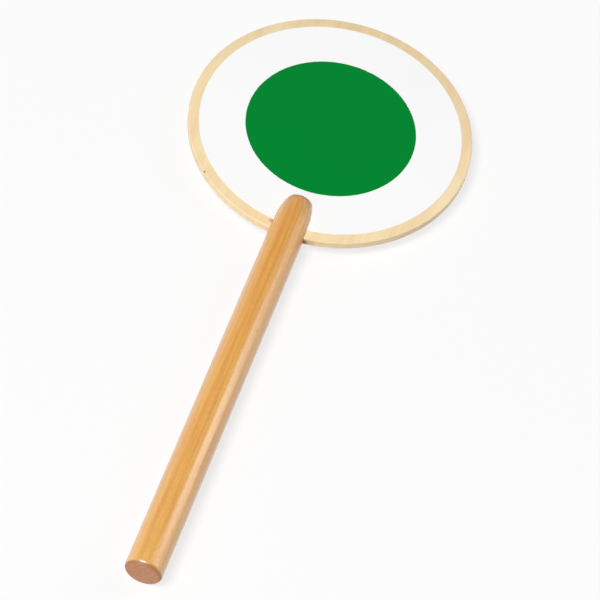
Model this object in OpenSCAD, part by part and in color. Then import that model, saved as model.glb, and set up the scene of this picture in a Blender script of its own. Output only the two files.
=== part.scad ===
// Hand signal paddle: a round plywood board with a green spot on a white face, held in the slotted nose of
// a turned wooden handle. It lies on its handle, +Z up, with the front face up and the board towards +Y.
// The origin is at the middle of the footprint, on the surface that the handle lies on.

/* [Board] */
// Diameter of the round board
board_d = 200; // [150:1:260]
// Thickness of one veneer of the board
veneer_t = 1.2; // [0.8:0.1:1.6]
// Radius of the sanded edge round each face of the board
board_edge_r = 0.6; // [0.2:0.1:0.7]

/* [Signal faces] */
// Width of the bare wood left round the white face
bare_margin_w = 7.5; // [3:0.5:12]
// Width of the white ring left round the green spot
white_ring_w = 32.5; // [20:0.5:50]
// Thickness of one layer of film
film_t = 0.2; // [0.1:0.05:0.4]

/* [Handle] */
// Diameter of the handle
handle_d = 25; // [20:0.5:32]
// Length of the handle from butt to nose
handle_l = 317; // [220:1:420]
// Radius of the rounded edge of the butt
butt_edge_r = 3; // [1:0.5:6]

/* [Nose] */
// Length of the cheeks that lie over the board, from its rim to where the nose rounds off
cheek_l = 10.5; // [2:0.5:18]
// How far the radius of the cheeks is sanded down over that length
cheek_taper = 0.1; // [0.05:0.05:0.5]
// Length over which the nose rounds off
nose_l = 22; // [15:0.5:28]
// Diameter of the flat left at the tip of the nose
nose_flat_d = 9.6; // [4:0.2:9.8]
// Radius of the rounded edge round that flat
nose_edge_r = 5; // [3:0.5:5]

/* [Fit] */
// Glue gap on each face of the board in the slot
slot_side_gap = 0.05; // [0:0.05:0.3]
// Gap between the rim of the board and the bottom of the slot
slot_end_gap = 0.3; // [0.1:0.1:1]

/* [Hidden] */
$fn = 96;
large_arc_fn = 360;

// Board and films
board_r = board_d / 2;
veneer_count = 5;
board_t = veneer_count * veneer_t;
white_r = board_r - bare_margin_w;
green_r = white_r - white_ring_w;

// Handle
handle_r = handle_d / 2;
cheek_end_r = handle_r - cheek_taper;
nose_overlap = cheek_l + nose_l;
nose_flat_r = nose_flat_d / 2;
nose_arc_start = handle_l - nose_l;
nose_edge_l = nose_l - nose_edge_r;
nose_drop = cheek_end_r - nose_flat_r;
// The side of the nose is an arc that starts parallel to the axis and meets the tip's rounded edge smoothly
nose_chord_sq = pow(nose_edge_l, 2) + pow(nose_drop, 2);
nose_side_r = (nose_chord_sq - pow(nose_edge_r, 2)) / (2 * (nose_drop - nose_edge_r));
nose_meet_l = nose_side_r * nose_edge_l / (nose_side_r - nose_edge_r);

// Slot
slot_w = board_t + 2 * (film_t + slot_side_gap);
slot_l = nose_overlap + slot_end_gap;
slot_bottom_l = handle_l - slot_l;
spot_relief_w = slot_w + 2 * film_t;
cut_past = 1;

// Places
overall_l = handle_l - nose_overlap + board_d;
butt_y = -overall_l / 2;
board_y = overall_l / 2 - board_r;
axis_z = handle_r;

wood_brown = [0.80, 0.58, 0.34];
veneer_pale = [0.93, 0.84, 0.66];
veneer_cross = [0.82, 0.70, 0.50];
white = [0.96, 0.96, 0.96];
green = [0.0, 0.52, 0.20];

// Half outline of the handle: x is the radius, and y runs from the butt to the nose. The straight stretch
// comes first, then the rounded edge of the butt, the cheeks, the arc of the nose, its flat core and its
// rounded edge.
module handle_outline() {
  translate([0, butt_edge_r]) square([handle_r, slot_bottom_l - butt_edge_r]);
  square([handle_r - butt_edge_r, slot_bottom_l]);
  intersection() {
    translate([handle_r - butt_edge_r, butt_edge_r]) circle(butt_edge_r);
    square([handle_r, handle_l]);
  }
  polygon([
    [0, slot_bottom_l],
    [handle_r, slot_bottom_l],
    [cheek_end_r, nose_arc_start],
    [0, nose_arc_start]
  ]);
  translate([0, nose_arc_start]) intersection() {
    translate([cheek_end_r - nose_side_r, 0]) circle(nose_side_r, $fn = large_arc_fn);
    square([handle_r, nose_meet_l]);
  }
  translate([0, nose_arc_start]) square([nose_flat_r, nose_l]);
  translate([0, nose_arc_start]) intersection() {
    translate([nose_flat_r, nose_edge_l]) circle(nose_edge_r);
    square([handle_r, nose_l]);
  }
}

// Sawn slot in the nose, open at the tip, with its bottom against the rim of the board
module slot() {
  translate([-handle_r - cut_past, slot_bottom_l, -slot_w / 2])
    cube([handle_d + 2 * cut_past, slot_l + cut_past, slot_w]);
}

// Room for the green spots, if they reach as far out as the nose reaches in
module spot_relief() {
  translate([0, handle_l - nose_overlap + board_r, -spot_relief_w / 2])
    cylinder(r = green_r + slot_end_gap, h = spot_relief_w);
}

module handle() {
  color(wood_brown) translate([0, butt_y, axis_z]) difference() {
    rotate([-90, 0, 0]) rotate_extrude() handle_outline();
    slot();
    spot_relief();
  }
}

// Places a layer of the board: level counts veneers up from the back face of the board
module at_veneer(level) {
  translate([0, board_y, axis_z - board_t / 2 + level * veneer_t]) children();
}

// Veneer with square edges, between two others
module inner_veneer() {
  cylinder(r = board_r, h = veneer_t);
}

// Outer veneer, face up, with its edge sanded round
module outer_veneer() {
  rotate_extrude() {
    square([board_r, veneer_t - board_edge_r]);
    square([board_r - board_edge_r, veneer_t]);
    intersection() {
      translate([board_r - board_edge_r, veneer_t - board_edge_r]) circle(board_edge_r);
      square([board_r, veneer_t]);
    }
  }
}

module front_face_veneer() {
  color(veneer_pale) at_veneer(4) outer_veneer();
}

module front_cross_veneer() {
  color(veneer_cross) at_veneer(3) inner_veneer();
}

module core_veneer() {
  color(veneer_pale) at_veneer(2) inner_veneer();
}

module back_cross_veneer() {
  color(veneer_cross) at_veneer(1) inner_veneer();
}

// The same sheet as the front one, turned face down
module back_face_veneer() {
  color(veneer_pale) at_veneer(1) mirror([0, 0, 1]) outer_veneer();
}

// Places a layer of film on the front face of the board: layer counts films up from the wood
module on_front(layer) {
  translate([0, board_y, axis_z + board_t / 2 + layer * film_t]) children();
}

// The same on the back face, downwards
module on_back(layer) {
  translate([0, board_y, axis_z - board_t / 2 - (layer + 1) * film_t]) children();
}

module front_white_face() {
  color(white) on_front(0) cylinder(r = white_r, h = film_t);
}

module front_green_spot() {
  color(green) on_front(1) cylinder(r = green_r, h = film_t);
}

module back_white_face() {
  color(white) on_back(0) cylinder(r = white_r, h = film_t);
}

module back_green_spot() {
  color(green) on_back(1) cylinder(r = green_r, h = film_t);
}

handle();
front_face_veneer();
front_cross_veneer();
core_veneer();
back_cross_veneer();
back_face_veneer();
front_white_face();
front_green_spot();
back_white_face();
back_green_spot();
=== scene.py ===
# %% [markdown]
# # A train dispatch signal paddle
#
# The paddle is a hand signal. A round plywood board carries a green spot on a white face, and the slotted
# nose of a turned beech handle holds the board. In this lesson each of its ten pieces is modelled with
# bmesh, and each surface gets a finish made from nodes.
#
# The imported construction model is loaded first. It says where every piece sits and how large it is, so
# nothing here is placed by eye. All lengths are in metres, and MM turns a size in millimetres to metres.

# %% Load the frame
import math

import bmesh
import bpy
from mathutils import Matrix, Vector


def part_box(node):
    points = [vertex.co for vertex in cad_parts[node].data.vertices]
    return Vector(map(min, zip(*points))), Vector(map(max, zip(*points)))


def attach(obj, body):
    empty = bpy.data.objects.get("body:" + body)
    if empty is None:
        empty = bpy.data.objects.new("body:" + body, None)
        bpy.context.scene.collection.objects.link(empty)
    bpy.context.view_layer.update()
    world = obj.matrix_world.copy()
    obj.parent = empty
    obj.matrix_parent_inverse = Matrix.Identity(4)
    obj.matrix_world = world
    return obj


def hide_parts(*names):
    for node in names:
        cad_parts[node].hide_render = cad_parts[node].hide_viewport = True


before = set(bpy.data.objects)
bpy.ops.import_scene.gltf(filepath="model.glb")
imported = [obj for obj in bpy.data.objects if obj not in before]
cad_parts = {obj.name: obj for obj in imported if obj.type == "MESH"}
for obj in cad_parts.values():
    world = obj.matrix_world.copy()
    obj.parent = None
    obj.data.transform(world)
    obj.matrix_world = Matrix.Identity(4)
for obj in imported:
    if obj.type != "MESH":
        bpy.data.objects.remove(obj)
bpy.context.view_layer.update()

MM = 0.001
BODY = "root"
print("nodes:", ", ".join(sorted(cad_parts)))

# %% [markdown]
# ## The camera
#
# The picture to match was taken with a long lens from in front of the butt, high above it and a little to
# the right, with the camera turned about its own axis so that the handle leans over. The outlines of the
# board, of its faces and of the handle are ellipses and straight lines, and together they settle the
# viewpoint. It is written here as a photographer would say it: where the lens points, how far away it is,
# and three angles.

# %% Place the camera
AIM = Vector((25.7, -4.3, 12.5)) * MM
DISTANCE = 1.9366
AROUND = math.radians(8.33)
ABOVE = math.radians(53.83)
ROLL = math.radians(12.16)
SENSOR_WIDTH = 36.0
LENS = 173.9
QUARTER_TURN = math.radians(90)

camera_data = bpy.data.cameras.new("camera")
camera_data.sensor_width = SENSOR_WIDTH
camera_data.lens = LENS
camera = bpy.data.objects.new("camera", camera_data)
bpy.context.scene.collection.objects.link(camera)
look = (
    Matrix.Rotation(AROUND, 4, "Z")
    @ Matrix.Rotation(QUARTER_TURN - ABOVE, 4, "X")
    @ Matrix.Rotation(ROLL, 4, "Z")
)
camera.matrix_world = Matrix.Translation(AIM + look.col[2].xyz * DISTANCE) @ look
bpy.context.scene.camera = camera
bpy.context.scene.view_settings.view_transform = "Standard"
print("camera at", [round(c, 4) for c in camera.matrix_world.translation])

# %% [markdown]
# ## Sizes
#
# The frame gives the box of every piece, so diameters, thicknesses and places are read from it. Only the
# sizes that a box doesn't show are written out, each where it is first used: the radii that the lathe and
# the sandpaper left, and the slot.

# %% Read the sizes
handle_low, handle_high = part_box("handle")
ply_low, ply_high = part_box("front_face_veneer")
core_low, core_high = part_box("core_veneer")

AXIS_Z = (handle_low.z + handle_high.z) / 2
HANDLE_R = (handle_high.z - handle_low.z) / 2
BUTT_Y = handle_low.y
NOSE_Y = handle_high.y
BOARD_CENTRE = Vector((0, (ply_low.y + ply_high.y) / 2, (core_low.z + core_high.z) / 2))
BOARD_R = (ply_high.y - ply_low.y) / 2
VENEER_T = ply_high.z - ply_low.z
BOARD_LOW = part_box("back_face_veneer")[0].z
BOARD_HIGH = ply_high.z
FILM_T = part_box("front_white_face")[1].z - BOARD_HIGH
print(f"handle {2 * HANDLE_R / MM:.2f} x {(NOSE_Y - BUTT_Y) / MM:.2f} mm, board {2 * BOARD_R / MM:.2f} mm")
print(f"veneer {VENEER_T / MM:.2f} mm, film {FILM_T / MM:.2f} mm")

# %% [markdown]
# ## From bmesh to piece
#
# Every piece ends the same way. Doubles are merged and the normals are recalculated, because a spin can
# leave the skin inside out. Then the round faces are shaded smooth, and an edge stays sharp where two
# faces meet at more than a set angle, which is what keeps an arris crisp. A face that lies square to an
# axis is flat on the real object too and is shaded flat. Shaded smooth, it would share its normals with
# the rounded edge beside it, and a large disc would look dished.
#
# The object stays at the origin, its place in its mesh, so a pattern in object coordinates runs through
# the piece as grain runs through wood. It is hung on the empty of the body it rides on, and the node of
# the construction model that it stands in for is hidden.

# %% Finish a piece
SHARP_ANGLE = math.radians(32)
SQUARE_SHARE = 0.99999
MERGE_DISTANCE = 0.002 * MM


def finish_piece(bm, name, node, material):
    """Makes the object from its bmesh, and puts it in the place of its node."""
    bmesh.ops.remove_doubles(bm, verts=bm.verts, dist=MERGE_DISTANCE)
    bmesh.ops.recalc_face_normals(bm, faces=bm.faces)
    bm.normal_update()
    for face in bm.faces:
        face.smooth = max(abs(share) for share in face.normal) < SQUARE_SHARE
    for edge in bm.edges:
        edge.smooth = edge.calc_face_angle(math.pi) < SHARP_ANGLE
    mesh = bpy.data.meshes.new(name)
    bm.to_mesh(mesh)
    open_edges = sum(1 for edge in bm.edges if not edge.is_manifold)
    volume = bm.calc_volume()
    bm.free()
    mesh.materials.append(material)
    piece = bpy.data.objects.new(name, mesh)
    bpy.context.scene.collection.objects.link(piece)
    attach(piece, BODY)
    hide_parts(node)
    print(f"{name}: {len(mesh.polygons)} faces, {open_edges} open edges, {volume / MM**3:.0f} mm3")


print(f"an edge stays sharp where its faces meet at more than {math.degrees(SHARP_ANGLE):.0f} degrees")

# %% [markdown]
# ## Colour and nodes
#
# Colours are written as the hex values that a screen shows, and one function turns them to the linear
# values that a shader works with. A second small function adds a node, gives it its settings, and fills
# its sockets with numbers or with links. Every material below is built from these two.
#
# A Mix node has a set of sockets for each kind of data, all with the same names, so the ones for colour
# are picked by their numbers.

# %% Turn a screen colour to a linear one
def linear(code):
    """The linear colour of an sRGB hex value such as F4F4F4."""
    shares = [int(code[i:i + 2], 16) / 255 for i in (0, 2, 4)]
    return (*[s / 12.92 if s <= 0.04045 else ((s + 0.055) / 1.055) ** 2.4 for s in shares], 1.0)


print("half grey on a screen is", [round(share, 3) for share in linear("808080")[:3]], "to a shader")

# %% Add a node
MIX_FACTOR, MIX_A, MIX_B, MIX_RESULT = 0, 6, 7, 2


def add(tree, kind, sockets=None, **settings):
    """Adds a node with its settings, and fills its sockets with values or links."""
    node = tree.nodes.new("ShaderNode" + kind)
    for name, value in settings.items():
        setattr(node, name, value)
    for key, value in (sockets or {}).items():
        if isinstance(value, bpy.types.NodeSocket):
            tree.links.new(value, node.inputs[key])
        else:
            node.inputs[key].default_value = value
    return node


def new_material(name):
    """An empty node material, as its tree and itself."""
    material = bpy.data.materials.new(name)
    material.use_nodes = True
    material.node_tree.nodes.clear()
    print("new material:", name)
    return material, material.node_tree


def cells_of(size):
    """The scale at which one cell of a pattern has this size."""
    return tuple(1 / side for side in size)


# %% [markdown]
# ## Varnished beech
#
# The handle is a beech dowel, turned and given a clear gloss varnish. Beech is pale brown, and varnish
# turns it to a warm amber. Three things draw its figure. Growth rings are cylinders round the heart of
# the tree, and a dowel cut from the plank crosses them lengthwise as soft streaks with frayed edges. Rays
# are thin sheets that point to the heart, and show as short dark flecks. Slow changes of colour run along
# the grain, and this handle is a little deeper in colour towards its nose.
#
# A picture wrapped round the dowel would have a seam and wrong ends. A solid pattern in object
# coordinates has neither: it is a block of wood, and the mesh is cut out of it, so the end grain comes by
# itself.
#
# A ray of beech is about a tenth of a millimetre thick and a fibre far finer, and neither can show in this
# picture. The rays are drawn more than twice as coarse and the fibres more than twenty times, so that they
# show.
#
# The block is a log, measured in millimetres, with its heart beside the dowel and turned so that the
# rings cross the dowel at a slant. Its fibres come first, because the rings, the colour and the varnish
# all use them.

# %% Lay the log
HEART_DISTANCE = 70
RING_TURN = math.radians(58)
FIBRE_SIZE = (0.5, 22.0, 0.5)


def beech_log(tree, place):
    """Places in the log, in millimetres, and its fibres as fine lengthwise lines."""
    log = add(tree, "Mapping", {
        "Vector": place.outputs["Object"],
        "Scale": (1 / MM, 1 / MM, 1 / MM),
        "Rotation": (0, RING_TURN, 0),
        "Location": (0, 0, HEART_DISTANCE),
    }).outputs[0]
    thin = add(tree, "Mapping", {"Vector": log, "Scale": cells_of(FIBRE_SIZE)})
    fibre = add(tree, "TexNoise", {"Vector": thin.outputs[0], "Scale": 1.0, "Detail": 3.0})
    return log, fibre


print(f"the heart lies {HEART_DISTANCE} mm from the axis of the dowel")

# %% [markdown]
# ### Rings
#
# The rings of a real trunk aren't circles. They wander a little along it, and where the saw crosses them
# their edges fray along the fibres. So the place is pushed about before the rings are drawn: slowly by a
# broad noise, and quickly by the fibres. The wave texture turns through 20 radians in a unit, which fixes
# its scale.

# %% Draw the rings
RING_WIDTH = 3.0
WAVE_RADIANS = 20
WANDER = 2.2
FRAY = 0.5
DRIFT_SIZE = (11.0, 110.0, 11.0)
NOISE_MIDDLE = (0.5, 0.5, 0.5)
RING_FROM = 0.3


def beech_rings(tree, log, fibre):
    """How far a place lies in the dark late wood of its ring."""
    slow = add(tree, "Mapping", {"Vector": log, "Scale": cells_of(DRIFT_SIZE)})
    drift = add(tree, "TexNoise", {"Vector": slow.outputs[0], "Scale": 1.0, "Detail": 2.0})
    push = add(tree, "VectorMath", {0: drift.outputs["Color"], 1: NOISE_MIDDLE}, operation="SUBTRACT")
    far = add(tree, "VectorMath", {0: push.outputs[0], "Scale": 2 * WANDER}, operation="SCALE")
    wandered = add(tree, "VectorMath", {0: log, 1: far.outputs[0]}, operation="ADD")
    loose = add(tree, "VectorMath", {0: fibre.outputs["Color"], "Scale": 2 * FRAY}, operation="SCALE")
    grain = add(tree, "VectorMath", {0: wandered.outputs[0], 1: loose.outputs[0]}, operation="ADD")
    rings = add(tree, "TexWave", {
        "Vector": grain.outputs[0],
        "Scale": 2 * math.pi / (WAVE_RADIANS * RING_WIDTH),
        "Distortion": 0.0,
    }, wave_type="RINGS", rings_direction="Y", wave_profile="TRI")
    late_wood = add(tree, "MapRange", {
        "Value": rings.outputs["Fac"], "From Min": RING_FROM, "From Max": 1.0,
    }, interpolation_type="SMOOTHSTEP")
    return late_wood.outputs[0]


print(f"rings of {RING_WIDTH} mm that wander by up to {WANDER} mm")

# %% [markdown]
# ### Streaks and rays
#
# Warm streaks are a noise pulled out along the grain. The rays are noise too, squeezed to thin plates:
# flat across the grain, a few millimetres long, and deeper towards the heart. Only the peaks of it are
# kept, so they stay apart from each other.

# %% Add streaks and rays
STREAK_SIZE = (1.8, 55.0, 1.8)
STREAK_FROM, STREAK_TO = 0.35, 0.68
RAY_SIZE = (0.24, 3.0, 0.9)
RAY_FROM, RAY_TO = 0.56, 0.82


def beech_streaks(tree, log):
    """How warm the wood is, in slow lengthwise streaks."""
    drawn = add(tree, "Mapping", {"Vector": log, "Scale": cells_of(STREAK_SIZE)})
    streak = add(tree, "TexNoise", {"Vector": drawn.outputs[0], "Scale": 1.0, "Detail": 3.0})
    return add(tree, "MapRange", {
        "Value": streak.outputs["Fac"], "From Min": STREAK_FROM, "From Max": STREAK_TO,
    }).outputs[0]


def beech_rays(tree, log):
    """How far a place lies in a ray."""
    plates = add(tree, "Mapping", {"Vector": log, "Scale": cells_of(RAY_SIZE)})
    plate = add(tree, "TexNoise", {"Vector": plates.outputs[0], "Scale": 1.0, "Detail": 0.0})
    return add(tree, "MapRange", {
        "Value": plate.outputs["Fac"], "From Min": RAY_FROM, "From Max": RAY_TO,
    }).outputs[0]


print(f"streaks {STREAK_SIZE[1]:.0f} mm long, rays {RAY_SIZE[1]:.0f} mm long")

# %% [markdown]
# ### The colour of the sides
#
# The colours are laid one over the other, as a painter would glaze them: the pale wood with its warm
# streaks, the late wood of the rings, the rays, and last a tint that grows towards the nose. A tint
# multiplies, so the figure under it stays. The fibres then make it a few hundredths lighter or darker.

# %% Colour the sides of the dowel
BEECH_PALE = "E7B04C"
BEECH_WARM = "DC9840"
LATE_WOOD = "CF812C"
RING_SHARE = 0.34
RAY_BROWN = "B06726"
RAY_SHARE = 0.36
NOSE_TINT = "F8EDA0"
FIBRE_FROM, FIBRE_TO = 0.3, 0.7
BEECH_DARKEST, BEECH_LIGHTEST = 0.95, 1.04


def beech_sides(tree, place, fibre, late_wood, warm, rays):
    """The colour of beech under varnish, seen along the grain."""
    pale = add(tree, "Mix", {
        MIX_FACTOR: warm, MIX_A: linear(BEECH_PALE), MIX_B: linear(BEECH_WARM),
    }, data_type="RGBA")
    ring_share = add(tree, "Math", {0: late_wood, 1: RING_SHARE}, operation="MULTIPLY")
    ringed = add(tree, "Mix", {
        MIX_FACTOR: ring_share.outputs[0], MIX_A: pale.outputs[MIX_RESULT], MIX_B: linear(LATE_WOOD),
    }, data_type="RGBA")
    ray_share = add(tree, "Math", {0: rays, 1: RAY_SHARE}, operation="MULTIPLY")
    flecked = add(tree, "Mix", {
        MIX_FACTOR: ray_share.outputs[0], MIX_A: ringed.outputs[MIX_RESULT], MIX_B: linear(RAY_BROWN),
    }, data_type="RGBA")
    along = add(tree, "SeparateXYZ", {0: place.outputs["Object"]})
    to_nose = add(tree, "MapRange", {"Value": along.outputs["Y"], "From Min": BUTT_Y, "From Max": NOSE_Y})
    deeper = add(tree, "Mix", {
        MIX_FACTOR: to_nose.outputs[0], MIX_A: flecked.outputs[MIX_RESULT], MIX_B: linear(NOSE_TINT),
    }, data_type="RGBA", blend_type="MULTIPLY")
    fibre_tone = add(tree, "MapRange", {
        "Value": fibre.outputs["Fac"], "From Min": FIBRE_FROM, "From Max": FIBRE_TO,
        "To Min": BEECH_DARKEST, "To Max": BEECH_LIGHTEST,
    })
    return add(tree, "VectorMath", {
        0: deeper.outputs[MIX_RESULT], "Scale": fibre_tone.outputs[0],
    }, operation="SCALE").outputs[0]


print("the palest beech is", [round(share, 3) for share in linear(BEECH_PALE)[:3]])

# %% [markdown]
# ### The cut ends
#
# The two ends are cut across the grain. Open fibres drink the varnish, so an end is brown and has little
# gloss. The rounded edge beside it is browner still, which is painted shade where it turns from the
# light. How far a face looks along the grain tells them apart: not at all on the sides, half on the
# rounded edge, and fully on the flat end.

# %% Colour the ends
END_PALE = "BA7230"
END_DARK = "A25C22"
# The edge colour below is painted shade on the rounded edge.
END_EDGE_SHADE = "955F34"
END_RING_SHARE = 0.4
END_FROM, END_TO = 0.2, 0.6
FLAT_FROM, FLAT_TO = 0.75, 0.98


def beech_ends(tree, lengthwise, late_wood, warm):
    """The colour of the cut ends: a mottled brown, and a painted shade on the rounded edge."""
    mottled = add(tree, "Math", {0: late_wood, 1: END_RING_SHARE, 2: warm}, operation="MULTIPLY_ADD")
    end_tone = add(tree, "Mix", {
        MIX_FACTOR: mottled.outputs[0], MIX_A: linear(END_PALE), MIX_B: linear(END_DARK),
    }, data_type="RGBA")
    flat = add(tree, "MapRange", {"Value": lengthwise, "From Min": FLAT_FROM, "From Max": FLAT_TO})
    return add(tree, "Mix", {
        MIX_FACTOR: flat.outputs[0], MIX_A: linear(END_EDGE_SHADE), MIX_B: end_tone.outputs[MIX_RESULT],
    }, data_type="RGBA").outputs[MIX_RESULT]


print(f"a face counts as an end from {math.degrees(math.asin(END_FROM)):.0f} degrees off the sides")

# %% [markdown]
# ### The varnish
#
# Varnish is a clear coat over the wood. It sinks a little over the fibres, which a bump shows, and the
# ends drink most of it. Its index is above the 1.5 of a real varnish, and the gloss of the wood under it
# is above the usual half, because a studio gives them little to mirror.

# %% Varnish the beech
WOOD_SMOOTHEST, WOOD_ROUGHEST = 0.36, 0.5
SUNK_STRENGTH = 0.12
SUNK_DEPTH = 0.02 * MM
END_VARNISH = 0.15


def varnished_beech():
    """Beech whose grain runs along Y, under a coat of clear gloss varnish."""
    material, tree = new_material("varnished_beech")
    place = add(tree, "TexCoord")
    log, fibre = beech_log(tree, place)
    late_wood = beech_rings(tree, log, fibre)
    warm = beech_streaks(tree, log)
    sides = beech_sides(tree, place, fibre, late_wood, warm, beech_rays(tree, log))
    facing = add(tree, "SeparateXYZ", {0: place.outputs["Normal"]})
    lengthwise = add(tree, "Math", {0: facing.outputs["Y"]}, operation="ABSOLUTE").outputs[0]
    end_grain = add(tree, "MapRange", {"Value": lengthwise, "From Min": END_FROM, "From Max": END_TO})
    ends = beech_ends(tree, lengthwise, late_wood, warm)
    colour = add(tree, "Mix", {
        MIX_FACTOR: end_grain.outputs[0], MIX_A: sides, MIX_B: ends,
    }, data_type="RGBA")
    rough = add(tree, "MapRange", {
        "Value": fibre.outputs["Fac"], "To Min": WOOD_SMOOTHEST, "To Max": WOOD_ROUGHEST,
    })
    sunk = add(tree, "Bump", {
        "Height": fibre.outputs["Fac"], "Strength": SUNK_STRENGTH, "Distance": SUNK_DEPTH,
    })
    varnish = add(tree, "MapRange", {"Value": end_grain.outputs[0], "To Min": 1.0, "To Max": END_VARNISH})
    shader = add(tree, "BsdfPrincipled", {
        "Base Color": colour.outputs[MIX_RESULT],
        "Roughness": rough.outputs[0],
        "Specular IOR Level": 1.0,
        "Normal": sunk.outputs[0],
        "Coat Weight": varnish.outputs[0],
        "Coat Roughness": 0.26,
        "Coat IOR": 1.7,
    })
    add(tree, "OutputMaterial", {"Surface": shader.outputs[0]})
    return material


beech = varnished_beech()
print("nodes in the beech:", len(beech.node_tree.nodes))

# %% [markdown]
# ## The handle
#
# A wood turner makes the handle on a lathe, and a spin is a lathe: half the outline is drawn once, and
# turned about the axis. The outline starts at the middle of the butt, goes round its rounded edge, runs
# along the shank, loses a hair where the cheeks were sanded, and rounds off over the nose in two arcs
# that meet smoothly. Each arc is a spin of one vertex, so no list of points is needed.

# %% Draw with one vertex
def draw_line(bm, vert, x, y):
    """Draws a straight line from a vertex to a point at this height of the axis."""
    end = bmesh.ops.extrude_vert_indiv(bm, verts=[vert])["verts"][0]
    end.co = (x, y, AXIS_Z)
    return end


def draw_arc(bm, vert, x, y, angle, steps):
    """Draws an arc from a vertex round a centre at this height of the axis."""
    drawn = bmesh.ops.spin(
        bm, geom=[vert], cent=(x, y, AXIS_Z), axis=(0, 0, 1), angle=angle, steps=steps, use_merge=False
    )
    return [item for item in drawn["geom_last"] if isinstance(item, bmesh.types.BMVert)][0]


print(f"the outline is drawn at {AXIS_Z / MM:.2f} mm, the height of the axis")

# %% Shape the nose
SLOT_L = 32.8 * MM
SLOT_BOTTOM_Y = NOSE_Y - SLOT_L
NOSE_L = 22 * MM
NOSE_FLAT_R = 4.8 * MM
NOSE_EDGE_R = 5 * MM
CHEEK_TAPER = 0.1 * MM

nose_arc_y = NOSE_Y - NOSE_L
cheek_end_r = HANDLE_R - CHEEK_TAPER
nose_drop = cheek_end_r - NOSE_FLAT_R
nose_edge_y = NOSE_Y - NOSE_EDGE_R
nose_edge_l = NOSE_L - NOSE_EDGE_R
chord_squared = nose_edge_l**2 + nose_drop**2
nose_side_r = (chord_squared - NOSE_EDGE_R**2) / (2 * (nose_drop - NOSE_EDGE_R))
side_angle = math.asin(nose_edge_l / (nose_side_r - NOSE_EDGE_R))
print(f"side of the nose: radius {nose_side_r / MM:.2f} mm over {math.degrees(side_angle):.1f} degrees")

# %% Turn the handle
BUTT_EDGE_R = 3 * MM
BUTT_STEPS = 12
NOSE_SIDE_STEPS = 16
NOSE_EDGE_STEPS = 12
SHANK_STEPS = 192

bm = bmesh.new()
vert = bm.verts.new((0, BUTT_Y, AXIS_Z))
vert = draw_line(bm, vert, HANDLE_R - BUTT_EDGE_R, BUTT_Y)
vert = draw_arc(bm, vert, HANDLE_R - BUTT_EDGE_R, BUTT_Y + BUTT_EDGE_R, QUARTER_TURN, BUTT_STEPS)
vert = draw_line(bm, vert, HANDLE_R, SLOT_BOTTOM_Y)
vert = draw_line(bm, vert, cheek_end_r, nose_arc_y)
vert = draw_arc(bm, vert, cheek_end_r - nose_side_r, nose_arc_y, side_angle, NOSE_SIDE_STEPS)
vert = draw_arc(bm, vert, NOSE_FLAT_R, nose_edge_y, QUARTER_TURN - side_angle, NOSE_EDGE_STEPS)
vert = draw_line(bm, vert, 0, NOSE_Y)
bmesh.ops.spin(
    bm, geom=bm.verts[:] + bm.edges[:], cent=(0, 0, AXIS_Z), axis=(0, 1, 0),
    angle=math.radians(360), steps=SHANK_STEPS, use_merge=True,
)
bmesh.ops.remove_doubles(bm, verts=bm.verts, dist=MERGE_DISTANCE)
print("turned:", len(bm.faces), "faces")

# %% [markdown]
# ### The slot
#
# The slot is sawn on the bench after turning, straight in from the tip. Three cuts mark it on the skin:
# one plane for each side of the saw cut and one for its bottom. What lies between them is deleted, and
# the three walls are filled where the skin is now open. It is the same order of work as the real one, and
# it leaves flat walls with crisp arrises, which a boolean would leave too, but less tidily.

# %% Saw the slot
SLOT_SIDE_GAP = 0.05 * MM
SLOT_HALF = (BOARD_HIGH - BOARD_LOW) / 2 + FILM_T + SLOT_SIDE_GAP

slot_top = AXIS_Z + SLOT_HALF
slot_floor = AXIS_Z - SLOT_HALF
for point, normal in (
    ((0, 0, slot_top), (0, 0, 1)),
    ((0, 0, slot_floor), (0, 0, 1)),
    ((0, SLOT_BOTTOM_Y, 0), (0, 1, 0)),
):
    bmesh.ops.bisect_plane(
        bm, geom=bm.verts[:] + bm.edges[:] + bm.faces[:], dist=MERGE_DISTANCE,
        plane_co=point, plane_no=normal,
    )
sawn = []
for face in bm.faces:
    middle = face.calc_center_median()
    if middle.y > SLOT_BOTTOM_Y and slot_floor < middle.z < slot_top:
        sawn.append(face)
bmesh.ops.delete(bm, geom=sawn, context="FACES")
print(f"slot of {2 * SLOT_HALF / MM:.2f} mm, sawn away: {len(sawn)} faces")

# %% Fill the walls of the slot
NEAR = 0.01 * MM


def near(share, value):
    """Whether a coordinate lies at this value."""
    return abs(share - value) < NEAR


rim = [edge for edge in bm.edges if edge.is_boundary]
corners = {}
for vert in bm.verts:
    if vert.is_boundary and near(vert.co.y, SLOT_BOTTOM_Y):
        for z in (slot_floor, slot_top):
            if near(vert.co.z, z):
                corners[z, vert.co.x > 0] = vert
walls = []
bottom = [edge for edge in rim if all(near(v.co.y, SLOT_BOTTOM_Y) for v in edge.verts)]
for z in (slot_floor, slot_top):
    across = bm.edges.new((corners[z, False], corners[z, True]))
    walls.append([edge for edge in rim if all(near(v.co.z, z) for v in edge.verts)] + [across])
    bottom.append(across)
for edges in walls + [bottom]:
    bmesh.ops.contextual_create(bm, geom=edges)
finish_piece(bm, "turned_handle", "handle", beech)

# %% [markdown]
# ## Birch plywood
#
# The board is plywood of five rotary-cut birch veneers, glued with the grain crossed, cut round, sanded
# and sealed with a thin satin coat. Birch is cream coloured with very fine fibres and a faint broad
# figure. On the rim the plies take turns: one shows its fibres lengthwise and looks pale, the next shows
# cut ends and looks browner, and a dark hair of glue parts them.
#
# One set of functions makes both materials, because they differ only in which way the grain runs and in
# their tone. The vessels of birch are a tenth of a millimetre across and can't show in this picture, so
# the fibres are drawn four times as coarse.

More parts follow.
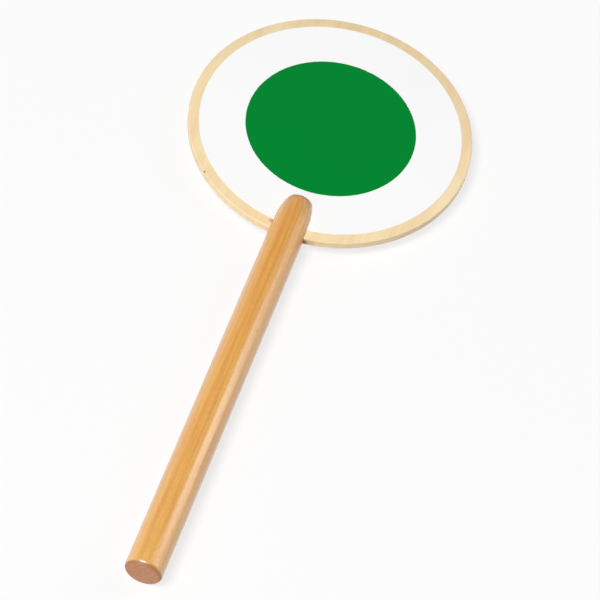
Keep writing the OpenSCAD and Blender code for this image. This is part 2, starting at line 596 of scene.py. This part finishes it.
# %% Grow the birch
BIRCH_FIBRE = (0.45, 26.0, 0.3)
BIRCH_FIGURE = (14.0, 60.0, 1.4)
BIRCH_PLACE = (11, 5, 0)
FIGURE_FROM, FIGURE_TO = 0.32, 0.68
BIRCH_DARKEST, BIRCH_LIGHTEST = 0.94, 1.04


def birch_sheet(tree, place, across, pale, brown):
    """The colour and the fibres of a veneer, whose grain runs along Y, or along X if it lies across."""
    sheet = add(tree, "Mapping", {
        "Vector": place.outputs["Object"],
        "Scale": (1 / MM, 1 / MM, 1 / MM),
        "Rotation": (0, 0, QUARTER_TURN if across else 0),
        "Location": BIRCH_PLACE,
    })
    thin = add(tree, "Mapping", {"Vector": sheet.outputs[0], "Scale": cells_of(BIRCH_FIBRE)})
    fibre = add(tree, "TexNoise", {"Vector": thin.outputs[0], "Scale": 1.0, "Detail": 3.0})
    broad = add(tree, "Mapping", {"Vector": sheet.outputs[0], "Scale": cells_of(BIRCH_FIGURE)})
    figure = add(tree, "TexNoise", {
        "Vector": broad.outputs[0], "Scale": 1.0, "Detail": 2.0, "Distortion": 0.6,
    })
    figured = add(tree, "MapRange", {
        "Value": figure.outputs["Fac"], "From Min": FIGURE_FROM, "From Max": FIGURE_TO,
    })
    tone = add(tree, "Mix", {
        MIX_FACTOR: figured.outputs[0], MIX_A: linear(pale), MIX_B: linear(brown),
    }, data_type="RGBA")
    fibre_tone = add(tree, "MapRange", {
        "Value": fibre.outputs["Fac"], "From Min": FIBRE_FROM, "From Max": FIBRE_TO,
        "To Min": BIRCH_DARKEST, "To Max": BIRCH_LIGHTEST,
    })
    colour = add(tree, "VectorMath", {
        0: tone.outputs[MIX_RESULT], "Scale": fibre_tone.outputs[0],
    }, operation="SCALE").outputs[0]
    return colour, fibre


print(f"fibres {BIRCH_FIBRE[0]} mm across, a figure {BIRCH_FIGURE[0]:.0f} mm across")

# %% [markdown]
# ### A knot and painted shade on the sheet
#
# The sheet is darker towards its far side, which is painted shade where the sanded rim turns from the
# light. It has one pin knot, by the edge on the lower left. Where the handle closes on the board, the
# handle's shade is painted in: a dark spot with a thin tail on the rim at the right, and a small brown one
# by the left cheek. Each mark is a ball in which the colour changes, so it runs over from one ply to the
# next. The numbers of a mark are its place and its radius in millimetres, how much of its colour covers
# the wood, and that colour.

# %% Mark the sheet
# This is painted shade: the sheet is darkened towards its far side, where its rim turns from the light.
FAR_SHADE = 0.87
MARK_CORE = 0.4
MARKS = (
    ("pin knot", (-68.7, 69.9, 15.3), 1.3, 0.85, "8A6B42"),
    # The three marks below are painted shade, where the handle closes on the board.
    ("painted shade at the right cheek", (12.9, 43.1, 11.6), 3.6, 0.95, "6E5016"),
    ("thin painted shade beside it", (16.5, 43.6, 11.5), 5.0, 0.35, "B49A4C"),
    ("painted shade at the left cheek", (-12.9, 48.9, 15.5), 2.4, 0.6, "A88048"),
)


def birch_knot_and_painted_shade(tree, place, where, colour):
    """The colour of the sheet with painted shade towards its far side, its pin knot, and the painted shade
    of the handle.
    """
    # Painted shade: the colour is darkened towards the far side of the sheet.
    drift = add(tree, "MapRange", {
        "Value": where.outputs["Y"], "From Min": BOARD_CENTRE.y, "From Max": BOARD_CENTRE.y + BOARD_R,
        "To Min": 1.0, "To Max": FAR_SHADE,
    })
    marked = add(tree, "VectorMath", {0: colour, "Scale": drift.outputs[0]}, operation="SCALE").outputs[0]
    for mark, at, radius, strength, code in MARKS:
        to_mark = add(tree, "VectorMath", {
            0: place.outputs["Object"], 1: tuple(c * MM for c in at),
        }, operation="DISTANCE")
        in_mark = add(tree, "MapRange", {
            "Value": to_mark.outputs["Value"], "From Min": MARK_CORE * radius * MM, "From Max": radius * MM,
            "To Min": strength, "To Max": 0.0,
        })
        marked = add(tree, "Mix", {
            MIX_FACTOR: in_mark.outputs[0], MIX_A: marked, MIX_B: linear(code),
        }, data_type="RGBA", label=mark).outputs[MIX_RESULT]
    return marked


print("marks:", ", ".join(mark[0] for mark in MARKS))

# %% [markdown]
# ### The rim of the board
#
# Seen end on, the fibres of a ply look a little browner. The glue lines come from the height in the
# board, so they land exactly where the pieces meet: a ping-pong turns that height into the distance to
# the nearest joint. They show on the rim only, where the skin stands upright.

# %% Show the cut edges and the glue
CUT_FROM = 0.2
CUT_TONE = 0.95
RIM_FROM, RIM_TO = 0.35, 0.6
GLUE_LINE = 0.07 * MM
GLUE_SHARE = 0.3
GLUE_BROWN = "7A5532"


def birch_rim(tree, facing, where, across, colour):
    """The colour of the sheet with browner cut ends, and with the glue between the plies."""
    end_on = add(tree, "Math", {0: facing.outputs["X" if across else "Y"]}, operation="ABSOLUTE")
    end_tone = add(tree, "MapRange", {
        "Value": end_on.outputs[0], "From Min": CUT_FROM, "To Min": 1.0, "To Max": CUT_TONE,
    })
    cut = add(tree, "VectorMath", {0: colour, "Scale": end_tone.outputs[0]}, operation="SCALE")
    upright = add(tree, "Math", {0: facing.outputs["Z"]}, operation="ABSOLUTE")
    on_rim = add(tree, "MapRange", {
        "Value": upright.outputs[0], "From Min": RIM_FROM, "From Max": RIM_TO, "To Min": 1.0, "To Max": 0.0,
    })
    height = add(tree, "Math", {0: where.outputs["Z"], 1: BOARD_LOW}, operation="SUBTRACT")
    to_glue = add(tree, "Math", {0: height.outputs[0], 1: VENEER_T / 2}, operation="PINGPONG")
    near_glue = add(tree, "MapRange", {
        "Value": to_glue.outputs[0], "From Max": GLUE_LINE, "To Min": GLUE_SHARE, "To Max": 0.0,
    })
    glued = add(tree, "Math", {0: near_glue.outputs[0], 1: on_rim.outputs[0]}, operation="MULTIPLY")
    return add(tree, "Mix", {
        MIX_FACTOR: glued.outputs[0], MIX_A: cut.outputs[0], MIX_B: linear(GLUE_BROWN),
    }, data_type="RGBA").outputs[MIX_RESULT]


print(f"a glue line every {VENEER_T / MM:.1f} mm")

# %% [markdown]
# ### The satin coat
#
# The sealer is too thin to fill the grain, so the fibres still show as a fine bump, and it takes only a
# quarter of a full coat's gloss.

# %% Seal the birch
SATIN_SMOOTHEST, SATIN_ROUGHEST = 0.42, 0.54
GRAIN_STRENGTH = 0.3
GRAIN_DEPTH = 0.03 * MM


def sealed_birch(name, across, pale, brown):
    """Birch under a satin coat, whose grain runs along Y, or along X if it lies across."""
    material, tree = new_material(name)
    place = add(tree, "TexCoord")
    where = add(tree, "SeparateXYZ", {0: place.outputs["Object"]})
    facing = add(tree, "SeparateXYZ", {0: place.outputs["Normal"]})
    sheet, fibre = birch_sheet(tree, place, across, pale, brown)
    marked = birch_knot_and_painted_shade(tree, place, where, sheet)
    colour = birch_rim(tree, facing, where, across, marked)
    worn = add(tree, "MapRange", {
        "Value": fibre.outputs["Fac"], "To Min": SATIN_SMOOTHEST, "To Max": SATIN_ROUGHEST,
    })
    grain_bump = add(tree, "Bump", {
        "Height": fibre.outputs["Fac"], "Strength": GRAIN_STRENGTH, "Distance": GRAIN_DEPTH,
    })
    shader = add(tree, "BsdfPrincipled", {
        "Base Color": colour,
        "Roughness": worn.outputs[0],
        "Specular IOR Level": 0.4,
        "Normal": grain_bump.outputs[0],
        "Coat Weight": 0.25,
        "Coat Roughness": 0.35,
    })
    add(tree, "OutputMaterial", {"Surface": shader.outputs[0]})
    return material


birch_face = sealed_birch("sealed_birch_face", across=False, pale="F3DEB2", brown="EDCFA2")
birch_cross = sealed_birch("sealed_birch_cross", across=True, pale="EED7AE", brown="E5C99B")
print("nodes in the birch:", len(birch_face.node_tree.nodes))

# %% [markdown]
# ## The five veneers
#
# A veneer is a disc of wood, so it starts as a filled circle that is extruded to its thickness. Its rim
# is then bevelled. The outer two were sanded round once the board was glued up. The inner ones have only
# a hair taken off each arris, because glue and sandpaper always leave a fine groove between plies, and
# that groove is what catches the light on a plywood edge.

# %% Make a round disc
RIM_STEPS = 384


def round_disc(node, top_edge, bottom_edge, steps):
    """A disc in the box of its node, with a rounded edge of its own above and below."""
    low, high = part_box(node)
    radius = (high.y - low.y) / 2
    centre = Vector((0, (low.y + high.y) / 2, low.z))
    bm = bmesh.new()
    bmesh.ops.create_circle(
        bm, cap_ends=True, segments=RIM_STEPS, radius=radius, matrix=Matrix.Translation(centre)
    )
    raised = bmesh.ops.extrude_face_region(bm, geom=bm.faces[:])["geom"]
    top = [item for item in raised if isinstance(item, bmesh.types.BMVert)]
    bmesh.ops.translate(bm, verts=top, vec=(0, 0, high.z - low.z))
    for z, size in ((high.z, top_edge), (low.z, bottom_edge)):
        rim = [edge for edge in bm.edges if all(near(v.co.z, z) for v in edge.verts)]
        bmesh.ops.bevel(
            bm, geom=rim, offset=size, offset_type="OFFSET", segments=steps, profile=0.5,
            affect="EDGES", material=-1, clamp_overlap=True,
        )
    print(f"disc of {2 * radius / MM:.1f} x {(high.z - low.z) / MM:.2f} mm")
    return bm


print(f"a side of the widest disc is {2 * BOARD_R * math.sin(math.pi / RIM_STEPS) / MM:.2f} mm long")

# %% Cut the veneers
BOARD_EDGE_R = 0.6 * MM
PLY_ARRIS = 0.05 * MM
PLY_STEPS = 4

for piece_name, node, material, slot, top_edge, bottom_edge in (
    ("front_face_ply", "front_face_veneer", birch_face, "birch_face", BOARD_EDGE_R, PLY_ARRIS),
    ("front_cross_ply", "front_cross_veneer", birch_cross, "birch_cross", PLY_ARRIS, PLY_ARRIS),
    ("core_ply", "core_veneer", birch_face, "birch_face", PLY_ARRIS, PLY_ARRIS),
    ("back_cross_ply", "back_cross_veneer", birch_cross, "birch_cross", PLY_ARRIS, PLY_ARRIS),
    ("back_face_ply", "back_face_veneer", birch_face, "birch_face", PLY_ARRIS, BOARD_EDGE_R),
):
    disc = round_disc(node, top_edge, bottom_edge, PLY_STEPS)
    finish_piece(disc, piece_name, node, material)

# %% [markdown]
# ## Self-adhesive film
#
# The white face and the green spot are cut from self-adhesive vinyl film with a semi-gloss face. Film is
# even in colour, and what gives it away is its surface: a very shallow orange peel that makes a
# reflection swim. The white one is a little grey, because no film is as white as the paper it is compared
# with, and that leaves room for light above it. The green one hardly shines in the picture, so its gloss is
# turned down. One broad noise changes the tint and the gloss of a film by a few hundredths, as handling
# does.

# %% Build the films
PEEL_SIZE = 1.8 * MM
PEEL_STRENGTH = 0.2
PEEL_DEPTH = 0.01 * MM
CLOUD_SCALE = 0.05
WEAR = 0.05
FADE = 0.015


def signal_film(name, code, roughness, shine):
    """Vinyl film of one colour, with a shallow orange peel and faint wear."""
    material, tree = new_material(name)
    place = add(tree, "TexCoord")
    sheet = add(tree, "Mapping", {
        "Vector": place.outputs["Object"], "Scale": cells_of((PEEL_SIZE, PEEL_SIZE, PEEL_SIZE)),
    })
    peel = add(tree, "TexNoise", {"Vector": sheet.outputs[0], "Scale": 1.0, "Detail": 1.0})
    cloud = add(tree, "TexNoise", {"Vector": sheet.outputs[0], "Scale": CLOUD_SCALE, "Detail": 2.0})
    worn = add(tree, "MapRange", {
        "Value": cloud.outputs["Fac"], "To Min": roughness - WEAR, "To Max": roughness + WEAR,
    })
    tint = add(tree, "MapRange", {"Value": cloud.outputs["Fac"], "To Min": 1 - FADE, "To Max": 1 + FADE})
    colour = add(tree, "VectorMath", {0: linear(code)[:3], "Scale": tint.outputs[0]}, operation="SCALE")
    shallow = add(tree, "Bump", {
        "Height": peel.outputs["Fac"], "Strength": PEEL_STRENGTH, "Distance": PEEL_DEPTH,
    })
    shader = add(tree, "BsdfPrincipled", {
        "Base Color": colour.outputs[0],
        "Roughness": worn.outputs[0],
        "Specular IOR Level": shine,
        "Normal": shallow.outputs[0],
    })
    add(tree, "OutputMaterial", {"Surface": shader.outputs[0]})
    return material


white_film = signal_film("white_vinyl_film", "F6F6F6", roughness=0.34, shine=0.4)
green_film = signal_film("green_vinyl_film", "00812F", roughness=0.34, shine=0.07)
print("nodes in a film:", len(white_film.node_tree.nodes))

# %% [markdown]
# ### Two films on each face
#
# A film is a disc too, only far thinner. The knife that cuts it presses its edge a little round, and two
# steps are enough for so small a bevel.

# %% Lay the films
FILM_EDGE = 0.07 * MM
FILM_STEPS = 2

for piece_name, node, material, slot in (
    ("front_white_film", "front_white_face", white_film, "white_film"),
    ("front_green_film", "front_green_spot", green_film, "green_film"),
    ("back_white_film", "back_white_face", white_film, "white_film"),
    ("back_green_film", "back_green_spot", green_film, "green_film"),
):
    disc = round_disc(node, FILM_EDGE, FILM_EDGE, FILM_STEPS)
    finish_piece(disc, piece_name, node, material)

# %% [markdown]
# ## The floor
#
# The paddle lies on a floor of matt white paint, with a white backdrop round it. The camera, a gloss and
# a glass see that backdrop at one fixed white, whatever the lamps do, and the Light Path node tells their
# rays from the light of the room. The floor is lifted to the same white. Near the paddle the lift is part
# of what is seen, so the shadows stay, and further out it is all of it, so the floor runs into the
# backdrop without a line.

# %% Tell what is seen from the light of the room
def seen_share(tree, share):
    """This share for a ray that the camera, a gloss or a glass sends out, and none for any other."""
    path = add(tree, "LightPath")
    looks = [path.outputs[name + " Ray"] for name in ("Is Camera", "Is Glossy", "Is Transmission")]
    direct = add(tree, "Math", {0: looks[0], 1: looks[1]}, operation="MAXIMUM")
    all_looks = add(tree, "Math", {0: direct.outputs[0], 1: looks[2]}, operation="MAXIMUM")
    return add(tree, "Math", {0: all_looks.outputs[0], 1: share}, operation="MULTIPLY").outputs[0]


PURE_WHITE = (1, 1, 1, 1)
BACKDROP = 0.975
print(f"the backdrop is seen at {BACKDROP} of white")

# %% Paint the floor
FLOOR_WHITE = "F4F4F4"
FLOOR_LIFT = 0.78
LIFT_FROM = 0.4
LIFT_TO = 1.4


def floor_paint():
    """Matt white paint. To the eye it is lifted towards the backdrop's white, and its shadows stay."""
    material, tree = new_material("matt_white_floor")
    lit = add(tree, "BsdfDiffuse", {"Color": linear(FLOOR_WHITE)})
    lift = add(tree, "Emission", {"Color": PURE_WHITE, "Strength": BACKDROP})
    away = add(tree, "VectorMath", {0: add(tree, "TexCoord").outputs["Object"]}, operation="LENGTH")
    share = add(tree, "MapRange", {
        "Value": away.outputs["Value"], "From Min": LIFT_FROM, "From Max": LIFT_TO, "To Min": FLOOR_LIFT,
    })
    seen = add(tree, "MixShader", {
        0: seen_share(tree, share.outputs[0]), 1: lit.outputs[0], 2: lift.outputs[0],
    })
    add(tree, "OutputMaterial", {"Surface": seen.outputs[0]})
    return material


print(f"the floor is all backdrop from {LIFT_TO} m out")

# %% Lay the floor
FLOOR_SIZE = 8.0
FLOOR_GAP = 0.02 * MM

floor_bm = bmesh.new()
bmesh.ops.create_grid(
    floor_bm, x_segments=1, y_segments=1, size=FLOOR_SIZE / 2,
    matrix=Matrix.Translation((0, 0, -FLOOR_GAP)),
)
floor_mesh = bpy.data.meshes.new("floor")
floor_bm.to_mesh(floor_mesh)
floor_bm.free()
floor_mesh.materials.append(floor_paint())
floor = bpy.data.objects.new("floor", floor_mesh)
bpy.context.scene.collection.objects.link(floor)
print(f"floor {floor.dimensions.x:.1f} m wide, {FLOOR_GAP / MM:.2f} mm under the paddle")

# %% [markdown]
# ## The surround
#
# The world gives a dim even light that fills the shades. What is seen of it is something else: the white
# of the backdrop, which turns into a darker ceiling higher up, as it would in a room. In this picture only
# a gloss sees that ceiling, and it is what keeps the top of the varnished shank deep in colour.

# %% Light the surround
SURROUND = 0.09
CEILING = 0.4
CEILING_FROM = 0.1
CEILING_TO = 0.6

world = bpy.data.worlds.new("surround")
bpy.context.scene.world = world
world.use_nodes = True
world.node_tree.nodes.clear()
sky = world.node_tree
soft = add(sky, "Background", {"Color": PURE_WHITE, "Strength": SURROUND})
upwards = add(sky, "SeparateXYZ", {0: add(sky, "TexCoord").outputs["Generated"]})
fading = add(sky, "MapRange", {
    "Value": upwards.outputs["Z"], "From Min": CEILING_FROM, "From Max": CEILING_TO,
    "To Min": BACKDROP, "To Max": CEILING,
})
behind = add(sky, "Background", {"Color": PURE_WHITE, "Strength": fading.outputs[0]})
seen = add(sky, "MixShader", {0: seen_share(sky, 1.0), 1: soft.outputs[0], 2: behind.outputs[0]})
add(sky, "OutputWorld", {"Surface": seen.outputs[0]})
print(f"the surround lights at {SURROUND} and is seen at {BACKDROP}, or {CEILING} overhead")

# %% [markdown]
# ## The lamps
#
# Most of the light comes from a large soft lamp high over the camera and to its left, so a flat face gets
# one even level, and the round shank is brightest left of its middle and falls off to both sides. A weak
# lamp in front lights the butt. A soft lamp on the right draws the pale line along the varnish. Where
# that line falls fixes the lamp: the line sits under half the radius right of the middle of the shank,
# and the mirror there sends the camera's ray up to the right and away.
#
# The power of a lamp is worked out from the level that a white sheet on the floor should reach, so that a
# colour renders about as it is written. Two of them point at the middle of the paddle, a little towards the
# board, and the third at the middle of the shank.

# %% Hang a lamp
def hang_lamp(name, at, towards, width, length, level):
    """A soft lamp, as bright as it takes to give this level on a white sheet that lies where it points."""
    data = bpy.data.lights.new(name, "AREA")
    data.shape = "RECTANGLE"
    data.size = width
    data.size_y = length
    path = towards - at
    slope = abs(path.normalized().z)
    data.energy = level * math.pi**2 * path.length_squared / slope
    lamp = bpy.data.objects.new(name, data)
    out = -path.normalized()
    side = Vector((0, 1, 0)).cross(out).normalized()
    lamp.matrix_world = Matrix.Translation(at) @ Matrix((side, out.cross(side), out)).transposed().to_4x4()
    bpy.context.scene.collection.objects.link(lamp)
    print(f"{name}: {data.energy:.1f} W")


PADDLE_AIM = BOARD_CENTRE * 0.3
SHANK_AIM = Vector((0, -0.1, AXIS_Z))
print("the lamps point at y", round(PADDLE_AIM.y, 3), "m and", round(SHANK_AIM.y, 3), "m")

# %% Hang the three lamps
hang_lamp(
    "key_lamp", at=Vector((-1.4, -2.2, 4.7)), towards=PADDLE_AIM, width=2.0, length=2.0, level=0.885
)
hang_lamp(
    "front_lamp", at=Vector((-0.8, -3.2, 1.2)), towards=PADDLE_AIM, width=1.6, length=1.0, level=0.04
)
hang_lamp(
    "right_lamp", at=Vector((1.41, 0.90, 1.09)), towards=SHANK_AIM, width=1.25, length=0.40, level=0.085
)
